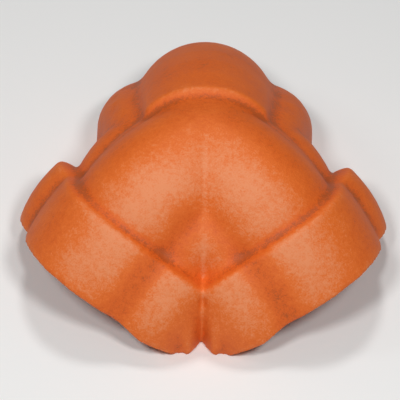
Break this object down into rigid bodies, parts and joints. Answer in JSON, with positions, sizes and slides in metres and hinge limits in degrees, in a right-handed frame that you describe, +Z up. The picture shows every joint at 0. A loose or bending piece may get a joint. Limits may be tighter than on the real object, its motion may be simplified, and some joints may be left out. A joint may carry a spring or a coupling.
{
  "type": "hip tile",
  "caption": "Hollow fired clay junction tile for a roof: two curved hip arms and a ridge arm, each a roll between rounded shoulders, stepped out to a socket mouth.",
  "frame": {"origin": "middle of the tile's box in plan, on the plane of its flat base", "axes": "+Z up; +Y along the ridge arm, away from the two hip arms; the tile is alike on both sides of the plane X = 0"},
  "size_m": [0.4044, 0.4116, 0.1744],
  "materials": {
    "clay": "matte unglazed orange terracotta"
  },
  "bodies": {
    "root": {"hip_tile": "clay"}
  },
  "joints": []
}
